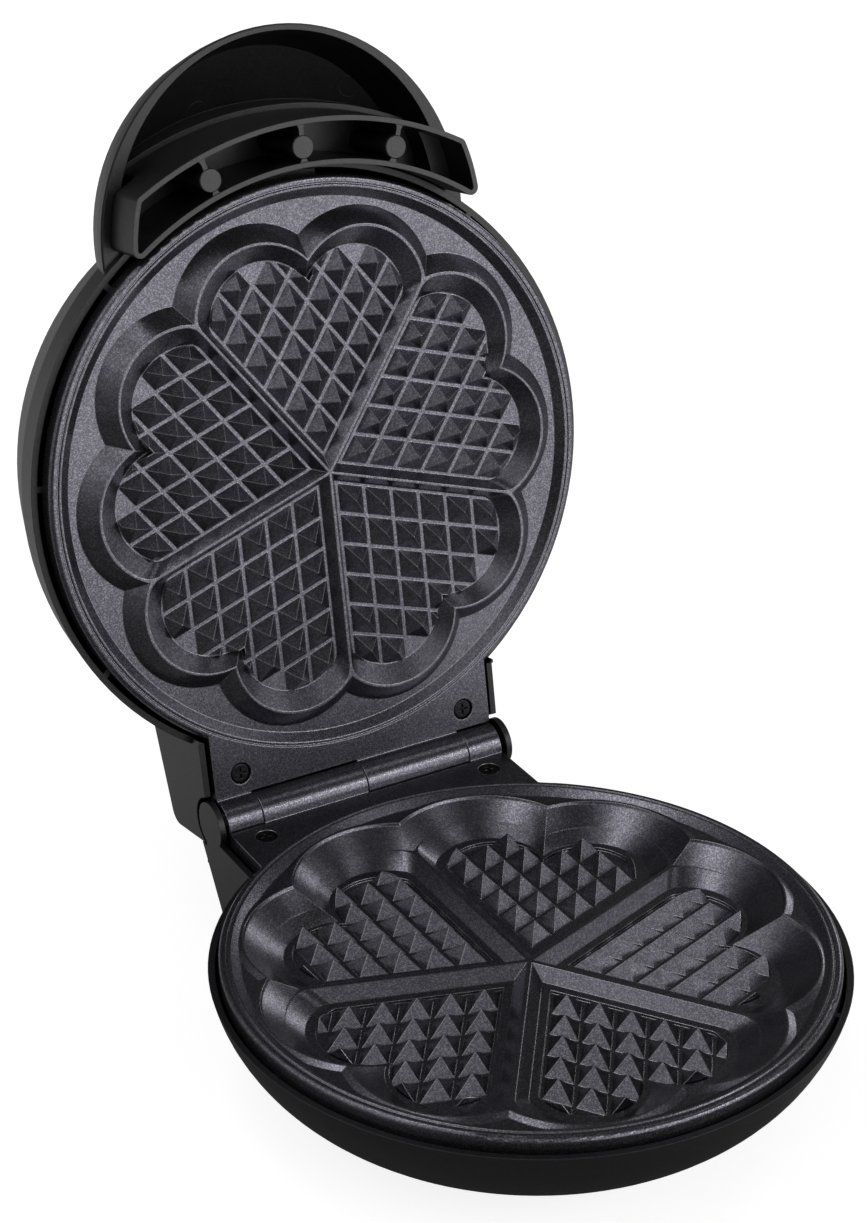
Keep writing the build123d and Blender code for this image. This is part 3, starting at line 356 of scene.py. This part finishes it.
def finish(name, dark, light, fleck_and_edge_highlight, gloss, grain, patches, edge, bump, fleck=0.0, **plain):
    """Material from two tones, a bright tone for the flecks and the painted edge highlight, and a (low,
    high) roughness; sizes in millimetres.
    """
    material = bpy.data.materials.new(name)
    material.use_nodes = True
    tree = material.node_tree
    shader = tree.nodes["Principled BSDF"]
    grains = add_node(
        tree, "ShaderNodeGroup", {"node_tree": fine_grain}, Grain_Size=grain, Patch_Size=patches
    )
    edges = add_node(tree, "ShaderNodeGroup", {"node_tree": soft_edges}, Radius=edge)
    both = add_node(tree, "ShaderNodeMath", {"operation": "MULTIPLY"})
    tones = add_node(tree, "ShaderNodeValToRGB")
    for stop, position, tone in zip(tones.color_ramp.elements, TONE_STOPS, (dark, light)):
        stop.position = position
        stop.color = (*tone, 1)
    sprayed = add_node(tree, "ShaderNodeMix", {"data_type": "RGBA"})
    sprayed.inputs["B"].default_value = (*fleck_and_edge_highlight, 1)
    strewn = add_node(tree, "ShaderNodeMath", {"operation": "MULTIPLY"})
    strewn.inputs[1].default_value = fleck
    # Painted highlight: along every edge the base colour is lightened towards the bright third tone,
    # standing in for the light that the edges catch.
    painted_edge_highlight = add_node(tree, "ShaderNodeMix", {"data_type": "RGBA"})
    painted_edge_highlight.inputs["B"].default_value = (*fleck_and_edge_highlight, 1)
    sheen = add_node(
        tree, "ShaderNodeMapRange",
        From_Min=SHEEN_SPAN[0], From_Max=SHEEN_SPAN[1], To_Min=gloss[0], To_Max=gloss[1],
    )
    tooth = add_node(tree, "ShaderNodeBump", Strength=bump, Distance=TOOTH_DEPTH)
    tree.links.new(grains.outputs["Tone"], both.inputs[0])
    tree.links.new(grains.outputs["Patches"], both.inputs[1])
    join(tree, both, "Value", tones, "Fac")
    tree.links.new(grains.outputs["Fleck"], strewn.inputs[0])
    tree.links.new(tones.outputs["Color"], sprayed.inputs["A"])
    tree.links.new(strewn.outputs["Value"], sprayed.inputs["Factor"])
    tree.links.new(sprayed.outputs["Result"], painted_edge_highlight.inputs["A"])
    tree.links.new(edges.outputs["Edge"], painted_edge_highlight.inputs["Factor"])
    tree.links.new(painted_edge_highlight.outputs["Result"], shader.inputs["Base Color"])
    join(tree, grains, "Tone", sheen, "Value")
    join(tree, sheen, "Result", shader, "Roughness")
    join(tree, grains, "Height", tooth, "Height")
    join(tree, edges, "Normal", tooth, "Normal")
    join(tree, tooth, "Normal", shader, "Normal")
    for socket, value in plain.items():
        shader.inputs[socket.replace("_", " ")].default_value = value
    return material


# %% [markdown]
# ## Finishes
# The cooking plates are die-cast aluminium under a dark non-stick coating with a metallic fleck, so
# they are nearly all metallic, with a violet-grey tone and mirror-like enough to show the studio.
# The casings and the grip are heat-resistant plastic from a lightly grained mould: almost black,
# with their brightness in the reflection. Steel parts get a narrow range of tones and a low bump.

# %% Materials
# The third tone of each finish colours its flecks and its painted edge highlight.
FINISHES = {
    "coated_casting": finish(
        "coated_casting", (0.098, 0.095, 0.114), (0.148, 0.144, 0.17), (0.46, 0.455, 0.48),
        gloss=(0.22, 0.3), grain=0.3, patches=60, edge=0.45, bump=0.16, fleck=0.4, Metallic=0.9,
    ),
    "casing": finish(
        "casing_plastic", (0.0035, 0.0033, 0.0046), (0.007, 0.0066, 0.0088), (0.05, 0.049, 0.053),
        gloss=(0.34, 0.46), grain=0.4, patches=30, edge=0.35, bump=0.3, fleck=0.3, Specular_IOR_Level=0.75,
    ),
    "grip_plastic": finish(
        "grip_plastic", (0.006, 0.0057, 0.0068), (0.0105, 0.010, 0.012), (0.06, 0.059, 0.064),
        gloss=(0.32, 0.45), grain=0.4, patches=20, edge=0.3, bump=0.3, fleck=0.3, Specular_IOR_Level=0.85,
    ),
    "screw_steel": finish(
        "blackened_steel", (0.03, 0.03, 0.032), (0.07, 0.07, 0.075), (0.25, 0.25, 0.26),
        gloss=(0.25, 0.4), grain=0.2, patches=2, edge=0.15, bump=0.1, Metallic=1.0,
    ),
    "pin_steel": finish(
        "pin_steel", (0.22, 0.22, 0.225), (0.4, 0.4, 0.41), (0.6, 0.6, 0.6),
        gloss=(0.2, 0.34), grain=0.25, patches=5, edge=0.15, bump=0.08, Metallic=1.0,
    ),
    "heater_sheath": finish(
        "heater_sheath", (0.12, 0.115, 0.11), (0.3, 0.28, 0.26), (0.36, 0.35, 0.33),
        gloss=(0.4, 0.6), grain=0.5, patches=8, edge=0.2, bump=0.2, Metallic=0.9,
    ),
    "shield_steel": finish(
        "shield_steel", (0.42, 0.42, 0.43), (0.6, 0.6, 0.61), (0.7, 0.7, 0.7),
        gloss=(0.3, 0.45), grain=1.2, patches=10, edge=0.2, bump=0.1, Metallic=1.0,
    ),
    "fuse_body": finish(
        "glazed_fuse", (0.6, 0.57, 0.5), (0.75, 0.72, 0.66), (0.8, 0.78, 0.74),
        gloss=(0.2, 0.35), grain=0.6, patches=6, edge=0.2, bump=0.08,
    ),
    "terminal_plastic": finish(
        "terminal_plastic", (0.55, 0.54, 0.5), (0.7, 0.69, 0.66), (0.75, 0.74, 0.72),
        gloss=(0.35, 0.5), grain=0.4, patches=8, edge=0.2, bump=0.1,
    ),
    "inlet_plastic": finish(
        "inlet_plastic", (0.008, 0.008, 0.008), (0.02, 0.02, 0.02), (0.04, 0.04, 0.04),
        gloss=(0.4, 0.55), grain=0.3, patches=8, edge=0.2, bump=0.15,
    ),
    "foot_rubber": finish(
        "foot_rubber", (0.012, 0.012, 0.012), (0.03, 0.03, 0.03), (0.05, 0.05, 0.05),
        gloss=(0.65, 0.8), grain=0.5, patches=6, edge=0.3, bump=0.3,
    ),
    "thermostat_body": finish(
        "thermostat_body", (0.2, 0.14, 0.08), (0.34, 0.25, 0.15), (0.4, 0.32, 0.22),
        gloss=(0.35, 0.5), grain=0.5, patches=5, edge=0.2, bump=0.12,
    ),
    "board": finish(
        "lamp_board", (0.02, 0.1, 0.03), (0.05, 0.2, 0.07), (0.15, 0.25, 0.12),
        gloss=(0.25, 0.4), grain=0.8, patches=6, edge=0.15, bump=0.1,
    ),
    "red_lens": finish(
        "red_lens", (0.35, 0.008, 0.008), (0.5, 0.015, 0.012), (0.6, 0.06, 0.05),
        gloss=(0.08, 0.16), grain=0.8, patches=4, edge=0.2, bump=0.03, Coat_Weight=0.5,
    ),
    "green_lens": finish(
        "green_lens", (0.01, 0.22, 0.03), (0.02, 0.33, 0.05), (0.08, 0.42, 0.1),
        gloss=(0.08, 0.16), grain=0.8, patches=4, edge=0.2, bump=0.03, Coat_Weight=0.5,
    ),
}
SLOTS = {part["node"]: part["material_slot"] for part in frame["record"]["subparts"]}
for name, node in nodes.items():
    for place in node.material_slots:
        place.material = FINISHES[SLOTS[name]]
print("finishes:", len(FINISHES))

# %% [markdown]
# ## Small turned details
# Three posts inside the grip carry its screws, and their round faces lie level with the webs that
# brace them. The roof of the hood keeps the rings that the mould's ejector pins leave. Both are
# turned shapes, so each is an outline spun once round its own axis with the spin operator, which
# closes on itself when use_merge is given. The rings lie on the curved roof, so a ray cast finds
# where they stand and which way the roof faces there.


# %% Spin an outline into a piece
TURN_STEPS = 40
SAME_POINT = 0.001 * MM


def spun(name, outline, place, axis, finish_name):
    """Piece turned round an axis through a place, from (radius, height) points in millimetres."""
    side = axis.orthogonal().normalized()
    shape = bmesh.new()
    corners = [shape.verts.new(place + (side * radius + axis * height) * MM) for radius, height in outline]
    edges = [shape.edges.new(pair) for pair in zip(corners, corners[1:])]
    bmesh.ops.spin(
        shape, geom=corners + edges, cent=place, axis=axis, angle=2 * pi, steps=TURN_STEPS, use_merge=True
    )
    bmesh.ops.remove_doubles(shape, verts=shape.verts[:], dist=SAME_POINT)
    bmesh.ops.recalc_face_normals(shape, faces=shape.faces[:])
    mesh = bpy.data.meshes.new(name)
    shape.to_mesh(mesh)
    shape.free()
    piece = bpy.data.objects.new(name, mesh)
    bpy.context.scene.collection.objects.link(piece)
    piece.data.materials.append(FINISHES[finish_name])
    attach(piece, "lid")
    return piece


# %% Post faces in the grip
POST_RING, POST_TURN, POST_R = 102.6, radians(17.8), 3.6
POST_TOP, WEB_TOP = 6.9, 8.1          # of the construction model's posts and webs, out of the lid
SUNK, PROUD, CHAMFER = 0.5, 0.25, 0.25
for number, turn in enumerate((-POST_TURN, 0, POST_TURN)):
    foot = on_lid(POST_RING * sin(turn), POST_RING * cos(turn), POST_TOP - SUNK)
    cap = WEB_TOP + PROUD - POST_TOP + SUNK
    face = spun(
        f"grip_post_face_{number}",
        [(0, 0), (POST_R, 0), (POST_R, cap - CHAMFER), (POST_R - CHAMFER, cap), (0, cap)],
        foot,
        OUT_OF_THE_LID,
        "grip_plastic",
    )
    print(face.name, "faces:", len(face.data.polygons))

# %% Ejector marks in the hood
EJECTOR_PLACES = ((-16, 112), (35, 113))                       # across and up the lid
RING_OUTLINE = [(3.3, -0.1), (3.4, 0.1), (3.8, 0.1), (3.9, -0.1), (3.3, -0.1)]
LOOK_FROM = 40                       # out of the lid, clear of the hood
hood = nodes["upper_casing"]
for number, (x, along) in enumerate(EJECTOR_PLACES):
    hit, where, outward, _ = hood.ray_cast(on_lid(x, along, LOOK_FROM), -OUT_OF_THE_LID)
    ring = spun(
        f"ejector_mark_{number}",
        RING_OUTLINE,
        where,
        outward,
        "casing",
    )
    print(ring.name, "on the roof:", hit, [round(v, 4) for v in where])
